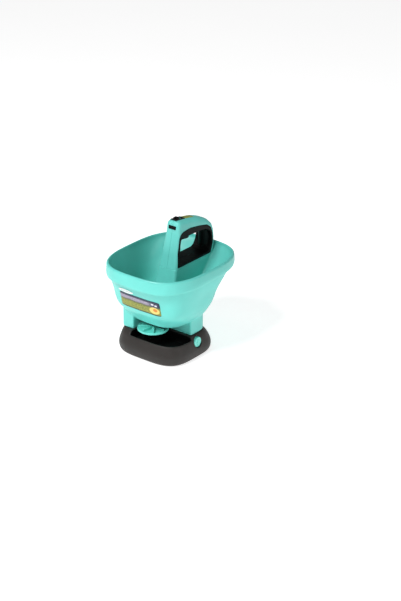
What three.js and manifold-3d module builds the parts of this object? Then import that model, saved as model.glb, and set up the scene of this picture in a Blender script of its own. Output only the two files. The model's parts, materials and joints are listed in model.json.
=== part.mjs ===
// Hand-held battery spreader: a hopper with a carrying handle on a stand that
// holds the motor, the batteries and the spinning disc that throws the grain.
// Millimetres. +Z is up, -Y is the front, where the disc throws, and the origin
// is on the ground under the middle of the hopper's rim.
import * as THREE from "three";
import { mergeVertices } from "three/addons/utils/BufferGeometryUtils.js";
import Module from "manifold-3d";

const wasm = await Module();
wasm.setup();

// ---- Driving dimensions -------------------------------------------------
const GAP = 0.3; // between pieces that touch
const RING_STEPS = 40; // points around the hopper's and the stand's outlines

// Each group is drawn round its own datum, which lies this far behind the middle of the rim.
const DATUM_Y = 6;
const RIM = { halfX: 125.5, middleY: -DATUM_Y, halfY: 148, top: 231, skirt: 198, rearRise: 8, wall: 2.8 };
// Rim band from its lower edge to its top: height, and how far the face stands in from the widest line.
const RIM_FACE = [
  [RIM.skirt, 2.2],
  [203, 0.4],
  [210, 0],
  [224, 0.8],
  [228.8, 1.4],
  [RIM.top, 2.6],
];
const BOWL_WALL = 3;
const FLOOR_Z = 83;
// Hopper sections: height, half width, front edge, rear edge, squareness of the corners.
const BOWL = [
  [FLOOR_Z, 58, -84, 30, 3],
  [88, 70, -89, 38, 3],
  [98, 84, -95, 47, 3],
  [119, 98, -112, 56, 3.5],
  [164, 111.5, -126, 77, 3.5],
  [200, 119.5, -140, 116, 3.2],
  [226, 122, -150.5, 138.5, 3],
  [RIM.top, 122, -150.5, 138.5, 3],
];

const SKIRT = { halfX: 83, rear: 35, bayWall: -33, pillarX: -46, front: -90, bottom: 60, wall: 2.8 };

const TOWER_TOP = 205;
const TOWER_HALF = { low: 36, at175: 30, top: 26.6 };
const COLUMN_LEAN = 27 / 117; // run of the column's front face for each mm of height
const FACE_Y_AT_175 = -28;
const GRIP_TOP_WIDTH = { z: 200, half: 27, taper: 0.0735 };
const SHELL_WALL = 2.5;

const BASE = { bottom: 1.5, top: 59.7, wall: 3, deck: 2.8, squareness: 3.6 };
// Stand sections: height, half width, front edge, rear edge.
const BASE_ROWS = [
  [BASE.bottom, 93, -113, 57],
  [8, 96.3, -115.5, 60],
  [20, 98, -117, 61],
  [40, 94, -112, 54],
  [50, 90.5, -108, 47.5],
  [BASE.top, 85.5, -101, 38],
];
const WELL = { left: -46, rear: -36, floor: 33, wall: 2.5, lip: 50 };

const DISC = { y: -72, radius: 37, z: 68 };
const SHAFT_RADIUS = 3;
const GEAR = { module: 0.9, wheelTeeth: 30, pinionTeeth: 10, z: 38, height: 6, backlash: 0.3 };
const MOTOR_Y = DISC.y + (GEAR.module * (GEAR.wheelTeeth + GEAR.pinionTeeth)) / 2 + GEAR.backlash;

const LATCH = { y: -20, z: 41.5, radius: 12.4, face: 94.6 };
const TRIGGER_PIVOT = { y: 10, z: 280 };
const CRANK_PIVOT = { y: -22, z: 130 };
const SHUTTER_Z = 80.2;

const CELL = { radius: 7.1, length: 50.4, pitch: 14.8 };

// ---- Materials ------------------------------------------------------------
function plastic(color, roughness, metalness = 0) {
  return new THREE.MeshStandardMaterial({ color, roughness, metalness });
}
const TURQUOISE = plastic(0x74d9cf, 0.42);
const CHARCOAL = plastic(0x3a3634, 0.62);
const BLACK = plastic(0x151716, 0.5);
const PALE = plastic(0xe9efed, 0.4);
const LABEL_INK = plastic(0x5f6f3a, 0.5);
const OLIVE_YELLOW = plastic(0xb7b13a, 0.5);
const NYLON = plastic(0xe6e3d8, 0.45);
const STEEL = plastic(0xb9bcc0, 0.32, 1);
const BRASS = plastic(0xc7a24a, 0.3, 1);
const RUBBER = plastic(0x1c1c1c, 0.9);
const CELL_WRAP = plastic(0x2f6fb0, 0.4);
const COPPER_WIRE = plastic(0xb02020, 0.5);

// ---- Solid helpers ----------------------------------------------------------
// A closed geometry as a manifold solid.
function solid(geometry) {
  const bare = geometry.clone();
  bare.deleteAttribute("normal");
  bare.deleteAttribute("uv");
  const merged = mergeVertices(bare, 1e-4);
  return new wasm.Manifold(
    new wasm.Mesh({
      numProp: 3,
      vertProperties: merged.attributes.position.array,
      triVerts: new Uint32Array(merged.index.array),
    }),
  );
}

function join(first, ...others) {
  return others.reduce((sum, other) => sum.add(other), first);
}

function cut(body, ...tools) {
  return tools.reduce((rest, tool) => rest.subtract(tool), body);
}

function meet(a, b) {
  return a.intersect(b);
}

function geometryOf(manifold) {
  const mesh = manifold.getMesh();
  const geometry = new THREE.BufferGeometry();
  const xyz = new Float32Array(mesh.numVert * 3);
  for (let i = 0; i < mesh.numVert; i++) {
    xyz.set(mesh.vertProperties.subarray(i * mesh.numProp, i * mesh.numProp + 3), i * 3);
  }
  geometry.setAttribute("position", new THREE.BufferAttribute(xyz, 3));
  geometry.setIndex(new THREE.BufferAttribute(mesh.triVerts, 1));
  return geometry;
}

function box(x0, x1, y0, y1, z0, z1) {
  const geometry = new THREE.BoxGeometry(x1 - x0, y1 - y0, z1 - z0);
  return solid(geometry.translate((x0 + x1) / 2, (y0 + y1) / 2, (z0 + z1) / 2));
}

// A round bar along "x", "y" or "z" from a point.
function bar(axis, radius, length, x, y, z, sides = 24) {
  const geometry = new THREE.CylinderGeometry(radius, radius, length, sides);
  geometry.translate(0, length / 2, 0);
  if (axis === "x") geometry.rotateZ(-Math.PI / 2);
  if (axis === "z") geometry.rotateX(Math.PI / 2);
  return solid(geometry.translate(x, y, z));
}

function shapeOf(points) {
  return new THREE.Shape(points.map(([u, v]) => new THREE.Vector2(u, v)));
}

// An outline in X and Y, raised from z0 to z1.
function raise(points, z0, z1) {
  const geometry = new THREE.ExtrudeGeometry(shapeOf(points), { depth: z1 - z0, bevelEnabled: false });
  return solid(geometry.translate(0, 0, z0));
}

// A side outline in Y and Z, from x0 to x1.
function spanX(points, x0, x1) {
  const geometry = new THREE.ExtrudeGeometry(shapeOf(points), { depth: x1 - x0, bevelEnabled: false });
  const turn = new THREE.Matrix4().makeBasis(
    new THREE.Vector3(0, 1, 0),
    new THREE.Vector3(0, 0, 1),
    new THREE.Vector3(1, 0, 0),
  );
  return solid(geometry.applyMatrix4(turn).translate(x0, 0, 0));
}

// A closed skin through rings of equal point counts, bottom ring first.
function loft(rings) {
  const count = rings[0].length;
  const points = rings.flat();
  const faces = [];
  const middle = (ring) => ring.reduce((sum, p) => sum.add(p), new THREE.Vector3()).divideScalar(ring.length);
  const bottom = points.push(middle(rings[0])) - 1;
  const top = points.push(middle(rings.at(-1))) - 1;
  for (let i = 0; i < count; i++) {
    const next = (i + 1) % count;
    for (let level = 0; level + 1 < rings.length; level++) {
      const low = level * count;
      const high = low + count;
      faces.push(low + i, low + next, high + next, low + i, high + next, high + i);
    }
    const last = (rings.length - 1) * count;
    faces.push(bottom, next, i, top, last + i, last + next);
  }
  const geometry = new THREE.BufferGeometry().setFromPoints(points);
  geometry.setIndex(faces);
  return solid(geometry);
}

// A squared oval (superellipse) at height z.
function ovalRing(z, halfX, front, rear, power) {
  const ring = [];
  const halfY = (rear - front) / 2;
  const midY = (rear + front) / 2;
  const squared = (value) => Math.sign(value) * Math.abs(value) ** (2 / power);
  for (let i = 0; i < RING_STEPS; i++) {
    const turn = (i / RING_STEPS) * 2 * Math.PI;
    ring.push(new THREE.Vector3(halfX * squared(Math.cos(turn)), midY + halfY * squared(Math.sin(turn)), z));
  }
  return ring;
}

// An outline whose corners are arcs: each point is x, y and the corner's radius.
function rounded(corners, arcSteps = 6) {
  const points = [];
  corners.forEach(([x, y, radius = 0], i) => {
    const before = corners[(i + corners.length - 1) % corners.length];
    const after = corners[(i + 1) % corners.length];
    const corner = new THREE.Vector2(x, y);
    if (!radius) {
      points.push([x, y]);
      return;
    }
    const back = new THREE.Vector2(before[0], before[1]).sub(corner).normalize();
    const ahead = new THREE.Vector2(after[0], after[1]).sub(corner).normalize();
    const half = Math.acos(THREE.MathUtils.clamp(back.dot(ahead), -1, 1)) / 2;
    const start = corner.clone().addScaledVector(back, radius / Math.tan(half));
    const end = corner.clone().addScaledVector(ahead, radius / Math.tan(half));
    const curve = new THREE.QuadraticBezierCurve(start, corner, end);
    curve.getPoints(arcSteps).forEach((p) => points.push([p.x, p.y]));
  });
  return points;
}

// ---- Hopper -----------------------------------------------------------------
function bowl(offset, floorLift, extraTop) {
  const ring = ([z, halfX, front, rear, power], lift) =>
    ovalRing(z + lift, halfX + offset, front - offset, rear + offset, power);
  const rings = BOWL.map((row, i) => ring(row, i === 0 ? floorLift : 0));
  if (extraTop) rings.push(ring(BOWL.at(-1), extraTop));
  return loft(rings);
}

// A ring of the rim band, whose lower edge climbs towards the rear while its top stays level.
function rimRing(z, inset) {
  const { halfX, middleY, halfY, top, skirt, rearRise } = RIM;
  const front = middleY - halfY + inset;
  const rear = middleY + halfY - inset;
  const climb = (rearRise * (top - z)) / (top - skirt);
  return ovalRing(z, halfX - inset, front, rear, 3).map((p) => p.setZ(z + (climb * (p.y - front)) / (rear - front)));
}

function hopperRim() {
  const { top, skirt, wall } = RIM;
  const outer = loft(RIM_FACE.map(([z, inset]) => rimRing(z, inset)));
  const inside = loft([rimRing(skirt - 1, wall + 2.2), rimRing(210, wall), rimRing(top - 4, wall + 1)]);
  return cut(outer, inside, bowl(GAP, 0, 3));
}

function faceY(z) {
  return FACE_Y_AT_175 + COLUMN_LEAN * (z - 175);
}

// The tower's plan at one height: flat front, rounded front corners, rear lost in the hopper's wall.
function towerRing(z, halfX, front, rear) {
  const corner = 6;
  const outline = rounded(
    [
      [-halfX, front, corner],
      [halfX, front, corner],
      [halfX, rear, 0],
      [-halfX, rear, 0],
    ],
    5,
  );
  return outline.map(([x, y]) => new THREE.Vector3(x, y, z));
}

function tower(inset, low, high) {
  const rear = 150;
  return loft([
    towerRing(low, TOWER_HALF.low - inset, faceY(low) + inset, rear),
    towerRing(175, TOWER_HALF.at175 - inset, faceY(175) + inset, rear),
    towerRing(high, TOWER_HALF.top - inset, faceY(high) + inset, rear),
  ]);
}

function skirtOutline(inset) {
  const { halfX, rear, bayWall, pillarX, front } = SKIRT;
  return rounded([
    [-halfX + inset, front + inset, 10],
    [pillarX - inset, front + inset, 3],
    [pillarX - inset, bayWall + inset, 0],
    [halfX - inset, bayWall + inset, 0],
    [halfX - inset, rear - inset, 34],
    [-halfX + inset, rear - inset, 34],
  ]);
}

function catchLedge(side) {
  const near = 76.5;
  const far = SKIRT.halfX - 1;
  const ledge = box(near, far, LATCH.y - 6, LATCH.y + 6, 61, 63.5);
  return side > 0 ? ledge : ledge.mirror([1, 0, 0]);
}

function shutterRail(side) {
  const inner = side * 32.6;
  const outer = side * 35;
  const lip = side * 30;
  const web = box(Math.min(inner, outer), Math.max(inner, outer), -76, -46, 78.6, FLOOR_Z + 3);
  const foot = box(Math.min(lip, outer), Math.max(lip, outer), -76, -46, 78.6, 79.8);
  return join(web, foot);
}

function crankBracket() {
  const cheek = (x) => box(x, x + 2, CRANK_PIVOT.y - 5, CRANK_PIVOT.y + 5, CRANK_PIVOT.z - 5, CRANK_PIVOT.z + 5);
  const arm = (x) => box(x, x + 2, CRANK_PIVOT.y - 14.8, CRANK_PIVOT.y - 4, CRANK_PIVOT.z - 5, CRANK_PIVOT.z + 5);
  return cut(
    join(cheek(-6), arm(-6), cheek(4), arm(4)),
    bar("x", 1.8, 20, -10, CRANK_PIVOT.y, CRANK_PIVOT.z),
  );
}

// The bowl, its floor with the outlets, and the rails that the shutter slides on.
function hopper() {
  const shell = cut(bowl(0, 0, 0), bowl(-BOWL_WALL, BOWL_WALL, 3));
  const crankOpening = box(-14, 14, -38, 12, FLOOR_Z - 1, FLOOR_Z + 6);
  const outlets = [1, -1].map((side) => box(side * 18.5 - 9.5, side * 18.5 + 9.5, -78, -66, FLOOR_Z - 1, FLOOR_Z + 6));
  return cut(join(shell, shutterRail(1), shutterRail(-1)), crankOpening, ...outlets);
}

// The hollow column inside the bowl that carries the handle and hides the linkage.
function towerColumn() {
  const room = bowl(-BOWL_WALL - GAP, BOWL_WALL + GAP, 3);
  const column = meet(tower(0, FLOOR_Z + 1, TOWER_TOP), room);
  return join(cut(column, tower(SHELL_WALL, FLOOR_Z - 2, TOWER_TOP + 1)), crankBracket());
}

// The wall under the bowl that stands on the deck, with a pillar beside the open throwing bay.
function hopperSkirt() {
  const { bayWall, bottom, wall } = SKIRT;
  const top = 126;
  const inside = raise(skirtOutline(wall), bottom - 1, top + 1);
  const walls = cut(raise(skirtOutline(0), bottom, top), inside, bowl(GAP, -GAP, 0));
  const tongueWindow = box(-9.5, 9.5, bayWall - 1, bayWall + wall + 1, SHUTTER_Z - 0.8, FLOOR_Z + 1);
  return cut(join(walls, catchLedge(1), catchLedge(-1)), tongueWindow);
}

// A thin plate that follows the hopper's front wall.
function onFrontWall(outline) {
  return meet(cut(bowl(0.9, 0, 0), bowl(GAP, 0, 3)), outline);
}

function labelPanel() {
  return onFrontWall(box(-56, 61, -160, -60, 131.5, 170));
}

function badgeOval() {
  const oval = new THREE.CylinderGeometry(1, 1, 80, 32).scale(23, 1, 5.2);
  return onFrontWall(solid(oval.translate(-34, -120, 176.2)));
}

// ---- Handle -----------------------------------------------------------------
const HANDLE_TOP = [
  [-25, 319.4],
  [2, 320],
  [38, 315],
  [66, 310.8],
  [86, 305.6],
  [104, 299],
  [120, 291],
  [132, 282.5],
];

const HANDLE_SIDE = [
  [-21, 205.4],
  [faceY(292), 292],
  [0.3, 309],
  [2.2, 316.5],
  [6, 330],
  [126, 330],
  [130.5, 276],
  [132.5, 262],
  [131, 236],
  [124, 218],
  [116, 205.4],
];

// The side wall outline around the black grip frame.
const FRAME_OUTER = [
  [-11.4, 208.3],
  [-7, 242],
  [1.8, 277],
  [5, 285.5],
  [13, 290],
  [43, 293],
  [80, 287],
  [106, 281],
  [120.6, 271],
  [125, 254],
  [124.5, 236],
  [113, 208.3],
];

const HAND_HOLE = [
  [-4.6, 213.5],
  [-0.6, 243],
  [5, 271],
  [9, 275.5],
  [42, 275.5],
  [80, 274.5],
  [104, 271],
  [116, 261.5],
  [120, 247],
  [117, 229],
  [110, 216.5],
  [103, 213.5],
];

// Moves each point of a closed side outline outwards by a distance.
function grown(points, distance) {
  return points.map(([u, v], i) => {
    const [u0, v0] = points[(i + points.length - 1) % points.length];
    const [u1, v1] = points[(i + 1) % points.length];
    const before = new THREE.Vector2(u - u0, v - v0).normalize();
    const after = new THREE.Vector2(u1 - u, v1 - v).normalize();
    const normal = new THREE.Vector2(before.y + after.y, -before.x - after.x).normalize();
    const stretch = distance / Math.max(0.5, normal.dot(new THREE.Vector2(before.y, -before.x)));
    const turnsLeft = THREE.ShapeUtils.area(points.map(([a, b]) => new THREE.Vector2(a, b))) > 0;
    const sign = turnsLeft ? 1 : -1;
    return [u + sign * normal.x * stretch, v + sign * normal.y * stretch];
  });
}

// The tapered, crowned bar that the handle is cut from.
function handleBlank(inset) {
  const { z: widthZ, half, taper } = GRIP_TOP_WIDTH;
  const low = 190;
  const edgeDrop = 8;
  const halfAt = (z) => half - taper * (z - widthZ) - inset;
  const ring = ([y, top]) => {
    const shoulder = top - edgeDrop - inset;
    const half0 = halfAt(shoulder);
    const crown = [
      [1, 0],
      [0.95, 3.4],
      [0.78, 5.8],
      [0.4, 7.5],
      [0, 8],
      [-0.4, 7.5],
      [-0.78, 5.8],
      [-0.95, 3.4],
      [-1, 0],
    ];
    const arc = crown.map(([share, rise]) => new THREE.Vector3(share * half0, y, shoulder + rise));
    return [new THREE.Vector3(-halfAt(low), y, low), new THREE.Vector3(halfAt(low), y, low), ...arc];
  };
  return loft(HANDLE_TOP.map(ring).reverse());
}

function halfSpace(side, from = 0) {
  return side > 0 ? box(from, 60, -60, 200, 150, 360) : box(-60, -from, -60, 200, 150, 360);
}

function mirrored(side, x0, x1) {
  return side > 0 ? [x0, x1] : [-x1, -x0];
}

const SEAM = 0.15;
const HANDLE_SCREWS = [
  { y: 56, z: 299 },
  { y: 98, z: 288.5 },
];

function spigot() {
  const outer = loft([
    towerRing(199, 23.3, faceY(199) + 3, 100),
    towerRing(207.4, 23.3, faceY(207.4) + 3, 100),
  ]);
  const inner = loft([
    towerRing(198, 21.3, faceY(198) + 5, 98),
    towerRing(209, 21.3, faceY(209) + 5, 98),
  ]);
  const rodAndWireNotch = box(-5.2, 15.5, -26, -8, 196, 212);
  return cut(outer, inner, rodAndWireNotch);
}

function triggerWell() {
  return box(-6.5, 6.5, 4.6, 61, 262, 284);
}

function handleShell(side) {
  const outline = HANDLE_SIDE;
  const body = meet(spanX(outline, -40, 40), handleBlank(0));
  const cavity = meet(spanX(grown(outline, -SHELL_WALL), -40, 40), handleBlank(SHELL_WALL));
  const frameRoom = spanX(grown(FRAME_OUTER, GAP), -60, 60);
  const [boss0, boss1] = mirrored(side, SEAM, 19);
  const bossAt = ({ y, z }) => meet(bar("x", 3.6, boss1 - boss0, boss0, y, z, 16), handleBlank(1));
  const bottomOpening = box(-18.5, 18.5, -17.9, 97, 196, 211);
  const [screw0, screw1] = mirrored(side, -1, side > 0 ? 12 : 18);
  const screwHole = ({ y, z }) => bar("x", 1.5, screw1 - screw0, screw0, y, z, 12);
  const headRoom = ({ y, z }) => bar("x", 3.3, 20, -36, y, z, 16);
  const sliderSlot = box(-4.6, 4.6, 9, 31, 300, 330);
  const frontSlot = box(-10.3, 10.3, -10, 3, 298, 306.1);
  const shell = cut(body, cavity, frameRoom, bottomOpening);
  const bossed = join(shell, spigotHalf(side), ...HANDLE_SCREWS.map(bossAt));
  const drilled = cut(
    bossed,
    ...HANDLE_SCREWS.map(screwHole),
    ...(side < 0 ? HANDLE_SCREWS.map(headRoom) : []),
    sliderSlot,
    frontSlot,
    spanX(grown(FRAME_OUTER, GAP), -60, 60),
  );
  return meet(drilled, halfSpace(side, SEAM));
}

function spigotHalf(side) {
  return meet(spigot(), halfSpace(side, SEAM));
}

// The black frame round the hand hole: a side flange and the wall of the hole.
function gripFrame(side) {
  const wall = 2.2;
  const rearPost = (low) => meet(bar("z", 14, 60, 0, 121, low, 24), spanX(FRAME_OUTER, -40, 40));
  const ring = cut(spanX(FRAME_OUTER, -40, 40), spanX(HAND_HOLE, -60, 60));
  const solidRing = meet(join(ring, rearPost(222)), handleBlank(-0.4));
  const behindWall = cut(
    spanX(grown(FRAME_OUTER, 2), -40, 40),
    spanX(grown(HAND_HOLE, wall), -60, 60),
    bar("z", 14, 70, 0, 121, 214, 24),
  );
  const open = cut(solidRing, meet(behindWall, handleBlank(wall)));
  const [pin0, pin1] = mirrored(side, 6.7, 20.5);
  const { y, z } = TRIGGER_PIVOT;
  const pinBoss = meet(bar("x", 3.2, pin1 - pin0, pin0, y, z, 16), handleBlank(1));
  const pinHole = bar("x", 1.75, 28, -14, y, z, 12);
  const half = meet(join(cut(open, triggerWell()), pinBoss), halfSpace(side, SEAM));
  return cut(half, pinHole);
}

function triggerBody() {
  const outline = [
    [0.4, 283.2],
    [0.4, 280.4],
    [5.5, 279],
    [6, 267.5],
    [9, 264.8],
    [28, 262.6],
    [44, 260.4],
    [53, 259.4],
    [56.4, 261.4],
    [56.8, 268],
    [54, 272.6],
    [37, 274.2],
    [35.4, 277],
    [34.6, 284.6],
    [10, 285],
  ];
  return cut(spanX(outline, -5.6, 5.6), bar("x", 1.8, 20, -10, TRIGGER_PIVOT.y, TRIGGER_PIVOT.z, 16));
}

// A close-wound helical spring standing on the origin.
function coilSpring(radius, wire, height, turns) {
  const points = [];
  const steps = turns * 10;
  for (let i = 0; i <= steps; i++) {
    const turn = (i / steps) * turns * 2 * Math.PI;
    const z = wire + (i / steps) * (height - 2 * wire);
    points.push(new THREE.Vector3(radius * Math.cos(turn), radius * Math.sin(turn), z));
  }
  const path = new THREE.CatmullRomCurve3(points);
  const section = new THREE.Shape().absarc(0, 0, wire, 0, 2 * Math.PI);
  const options = { steps: turns * 8, curveSegments: 3, extrudePath: path, bevelEnabled: false };
  return geometryOf(solid(new THREE.ExtrudeGeometry(section, options)));
}

// A plate that lies on the handle's crowned top between two places along it.
function onHandleTop(halfX, front, rear, proud) {
  return meet(cut(handleBlank(-proud), handleBlank(-GAP)), box(-halfX, halfX, front, rear, 300, 340));
}

function topAt(y) {
  const i = HANDLE_TOP.findIndex(([station]) => station > y);
  const [y0, z0] = HANDLE_TOP[i - 1];
  const [y1, z1] = HANDLE_TOP[i];
  return z0 + ((z1 - z0) * (y - y0)) / (y1 - y0);
}

function sliderBezel() {
  return cut(onHandleTop(7.8, 2.5, 37, 2.2), box(-4.6, 4.6, 9, 31, 300, 330));
}

// The thumb slider that sets how far the trigger opens the shutter.
function rateSlider() {
  const front = 10;
  const length = 9;
  const base = topAt(front + length / 2) + 1.5;
  const ridges = [0, 1, 2].map((i) => box(-5.2, 5.2, front + 0.6 + i * 3, front + 2.4 + i * 3, base + 2.4, base + 4));
  const thumb = box(-5.6, 5.6, front, front + length, base + 1.6, base + 3);
  const stem = box(-3.8, 3.8, front + 1, front + length - 1, base - 14, base + 2);
  return join(thumb, stem, ...ridges);
}

function frontSlotInsert() {
  const frame = box(-10, 10, -1.6, 1.9, 298.3, 305.8);
  return cut(frame, box(-8.6, 8.6, -3, 0.4, 299.7, 304.4));
}

// The flat rod in the handle's front column, in line with the column's lean.
function linkRod() {
  const top = 277.4;
  const bottom = 134;
  const offset = 5.7;
  const halfThick = 1.2;
  const low = faceY(bottom) + offset;
  const high = faceY(top) + offset;
  const outline = [
    [low - halfThick, bottom],
    [low + halfThick, bottom],
    [high + halfThick, top],
    [high - halfThick, top],
  ];
  return spanX(outline, -4, 4);
}

function bellCrank() {
  const { y, z } = CRANK_PIVOT;
  const outline = [
    [y - 12, z - 1.2],
    [y - 12, z + 2.4],
    [y + 4, z + 4],
    [y + 4, z - 4],
    [y + 2.2, 86],
    [y + 1.6, 84.2],
    [y - 1.6, 84.2],
    [y - 2.2, 86],
    [y - 3.4, z - 5],
  ];
  return cut(spanX(outline, -2.5, 2.5), bar("x", 1.8, 10, -5, y, z, 16));
}

function shutterPlate() {
  const thick = 2;
  const plate = box(-31.8, 31.8, -80, -50, SHUTTER_Z, SHUTTER_Z + thick);
  const tongue = box(-6, 6, -51, -14, SHUTTER_Z, SHUTTER_Z + thick);
  const tab = (y) => box(-5, 5, y, y + 2, SHUTTER_Z + 1, SHUTTER_Z + 7.5);
  return join(plate, tongue, tab(CRANK_PIVOT.y - 5.2), tab(CRANK_PIVOT.y + 3.2));
}

// ---- Stand ------------------------------------------------------------------
function standRing(z, inset) {
  const i = Math.max(1, BASE_ROWS.findIndex((row) => row[0] >= z));
  const [below, above] = [BASE_ROWS[i - 1], BASE_ROWS[i]];
  const share = THREE.MathUtils.clamp((z - below[0]) / (above[0] - below[0]), 0, 1);
  const [halfX, front, rear] = [1, 2, 3].map((k) => THREE.MathUtils.lerp(below[k], above[k], share));
  return ovalRing(z, halfX - inset, front + inset, rear - inset, BASE.squareness);
}

// The stand's bulging outline from one height to another, pulled in by a wall thickness.
function standBlock(inset, low, high) {
  const between = BASE_ROWS.map((row) => row[0]).filter((z) => z > low && z < high);
  return loft([low, ...between, high].map((z) => standRing(z, inset)));
}

const STAND_BOSSES = [
  { x: -70, y: -60, top: 57.5 },
  { x: 70, y: -60, top: 33 },
  { x: -64, y: 18, top: 57.5 },
  { x: 64, y: 18, top: 57.5 },
];

const TRAY_BOSS = STAND_BOSSES[1]; // the one under the well's floor

function screwBoss({ x, y, top }) {
  return bar("z", 4, top - 6, x, y, 6.2, 16);
}

function screwHole({ x, y }) {
  return bar("z", 1.5, 16, x, y, 5, 12);
}

function standShell() {
  const { bottom, top, wall, deck } = BASE;
  const shell = cut(standBlock(0, bottom, top), standBlock(wall, bottom - 1, top - deck));
  const mouth = box(WELL.left + WELL.wall, 120, -130, WELL.rear - WELL.wall, WELL.lip, top + 2);
  const latchHoles = bar("x", LATCH.radius + 0.6, 240, -120, LATCH.y, LATCH.z, 32);
  const hookSlots = [1, -1].map((side) => box(side * 72 - 6, side * 72 + 6, LATCH.y - 6.5, LATCH.y + 6.5, 50, top + 1));
  const plugSlot = box(-13.5, 13.5, -30, -8, 50, top + 1);
  const bosses = STAND_BOSSES.filter((boss) => boss !== TRAY_BOSS);
  const holes = bosses.map(screwHole);
  return cut(join(shell, ...bosses.map(screwBoss)), mouth, latchHoles, ...hookSlots, plugSlot, ...holes);
}

// The black tray under the disc, with the lower bush's boss and the motor's bearing hole in its floor.
function wellTray() {
  const { left, rear, floor, wall } = WELL;
  const top = BASE.top - BASE.deck - GAP;
  const block = meet(box(left, 120, -130, rear, floor, top), standBlock(BASE.wall + GAP, floor - 1, BASE.top));
  const room = box(left + wall, 130, -140, rear - wall, floor + 3, top + 1);
  const shaftBoss = bar("z", 7, 12, 0, DISC.y, floor - 11);
  return cut(
    join(cut(block, room), shaftBoss, screwBoss(TRAY_BOSS)),
    screwHole(TRAY_BOSS),
    bar("z", 5.3, 20, 0, DISC.y, floor - 8.5),
    bar("z", 3.4, 10, 0, MOTOR_Y, floor - 4),
  );
}

function standPlate() {
  const plate = loft([ovalRing(3, 89.6, -109.2, 53.4, 3.6), ovalRing(5.6, 89.6, -109.2, 53.4, 3.6)]);
  const window = box(-30.4, 30.4, -28.6, 27.6, 2, 7);
  const tabWindow = box(-6.4, 6.4, 27, 36.6, 2, 7);
  const screwHoles = STAND_BOSSES.map(({ x, y }) => bar("z", 1.8, 6, x, y, 1, 12));
  return cut(plate, window, tabWindow, ...screwHoles);
}

function batteryDoor() {
  const door = box(-30, 30, -28.2, 27.2, 3.2, 5.4);
  const tab = box(-6, 6, 27, 36.2, 3.2, 5.4);
  return cut(join(door, tab), bar("z", 1.8, 6, 0, 32.4, 1, 12));
}

function batteryBox() {
  const outer = box(-32, 32, -30, 29, 6.2, 24.5);
  const room = box(-30.2, 30.2, -28.4, 27.4, 5, 22.7);
  const lug = box(-6, 6, 28, 37, 6.2, 13);
  return cut(join(cut(outer, room), lug), bar("z", 1.4, 6, 0, 32.4, 5, 12));
}

function latchButton(side) {
  const { y, z, radius, face } = LATCH;
  const drumStart = 81.4;
  const dome = new THREE.CylinderGeometry(radius - 2, radius, 2, 24).rotateZ(-Math.PI / 2);
  const drum = bar("x", radius, face - 2 - drumStart, drumStart, y, z, 24);
  const ridge = new THREE.SphereGeometry(1, 10, 6).scale(2, 2.6, 8).translate(face - 0.4, y, z);
  const collar = bar("x", 15, 1.6, 80.2, y, z, 24);
  const stem = bar("x", 3.4, 15, 66.5, y, z, 12);
  const upright = box(70, 74, y - 5, y + 5, z - 4, 66.4);
  const nose = box(73, 76.1, y - 5, y + 5, 64.2, 66.4);
  const piece = join(solid(dome.translate(face - 1, y, z)), drum, solid(ridge), collar, stem, upright, nose);
  return side > 0 ? piece : piece.mirror([1, 0, 0]);
}

// ---- Drive ------------------------------------------------------------------
function gearBlank(teeth, height, turned) {
  const pitch = (GEAR.module * teeth) / 2;
  const root = pitch - 1.15 * GEAR.module;
  const tip = pitch + 0.9 * GEAR.module;
  const step = (2 * Math.PI) / teeth;
  const points = [];
  const polar = (radius, angle) => [radius * Math.cos(angle), radius * Math.sin(angle)];
  for (let i = 0; i < teeth; i++) {
    const middle = (i + turned) * step;
    points.push(polar(root, middle - 0.3 * step));
    points.push(polar(tip, middle - 0.11 * step));
    points.push(polar(tip, middle + 0.11 * step));
    points.push(polar(root, middle + 0.3 * step));
  }
  return raise(points, 0, height);
}

function driveGear() {
  const quarterTurnTeeth = GEAR.wheelTeeth / 4;
  const blank = gearBlank(GEAR.wheelTeeth, GEAR.height, quarterTurnTeeth % 1);
  const hub = bar("z", 5.4, GEAR.height + 2, 0, 0, 0);
  return cut(join(blank, hub), bar("z", SHAFT_RADIUS + 0.25, 12, 0, 0, -1));
}

function motorPinion() {
  const quarterTurnTeeth = GEAR.pinionTeeth / 4;
  const blank = gearBlank(GEAR.pinionTeeth, GEAR.height, (quarterTurnTeeth + 0.5) % 1);
  return join(blank, bar("z", 1.2, 20, 0, 0, -12, 12));
}

function motorCan() {
  const can = bar("z", 10, 24.5, 0, 0, 0, 32);
  const nose = bar("z", 3, 2.6, 0, 0, 24, 20);
  return cut(join(can, nose), bar("z", 1.6, 12, 0, 0, 18, 16));
}

function gearboxCover() {
  const low = WELL.floor + 3.3;
  const high = 50;
  const lobe = (grow, z0, z1) =>
    join(
      bar("z", 15.6 + grow, z1 - z0, 0, DISC.y, z0, 32),
      bar("z", 7.2 + grow, z1 - z0, 0, MOTOR_Y, z0, 24),
      box(-7.2 - grow, 7.2 + grow, DISC.y, MOTOR_Y, z0, z1),
    );
  const neck = bar("z", 7.4, 11, 0, DISC.y, high - 1);
  return cut(join(lobe(2, low, high), neck), lobe(0, low - 1, high - 2), bar("z", 5.3, 30, 0, DISC.y, high - 10));
}

function bush(length) {
  return geometryOf(cut(bar("z", 5, length, 0, 0, 0, 24), bar("z", SHAFT_RADIUS + 0.3, length + 2, 0, 0, -1, 24)));
}

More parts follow.
